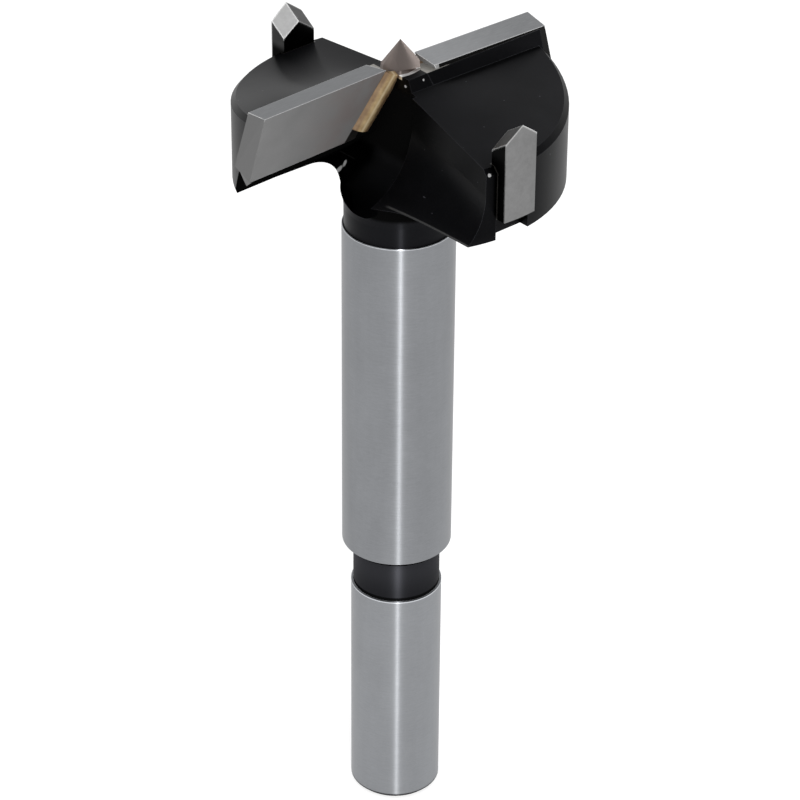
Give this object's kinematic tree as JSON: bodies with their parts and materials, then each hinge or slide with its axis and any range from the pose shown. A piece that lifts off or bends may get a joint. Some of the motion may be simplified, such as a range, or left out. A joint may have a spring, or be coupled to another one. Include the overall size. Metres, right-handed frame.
{
  "type": "hinge boring bit",
  "caption": "Carbide-tipped 35 mm hinge boring bit for wood, with blackened head, cutting plates, rim spurs, centre point and stepped round shank.",
  "frame": {"origin": "centre of the flat end of the shank", "axes": "+Z along the bit's axis towards the centre point, +X along the cutting edge of the first cutter"},
  "size_m": [0.0348, 0.035, 0.0895],
  "materials": {
    "body_steel": "satin",
    "carbide": "satin",
    "braze": "satin"
  },
  "bodies": {
    "root": {"bit_body": "body_steel", "cutter_1": "carbide", "cutter_2": "carbide", "spur_1": "carbide", "spur_2": "carbide", "cutter_braze_1": "braze", "cutter_braze_2": "braze", "spur_braze_1": "braze", "spur_braze_2": "braze"}
  },
  "joints": []
}
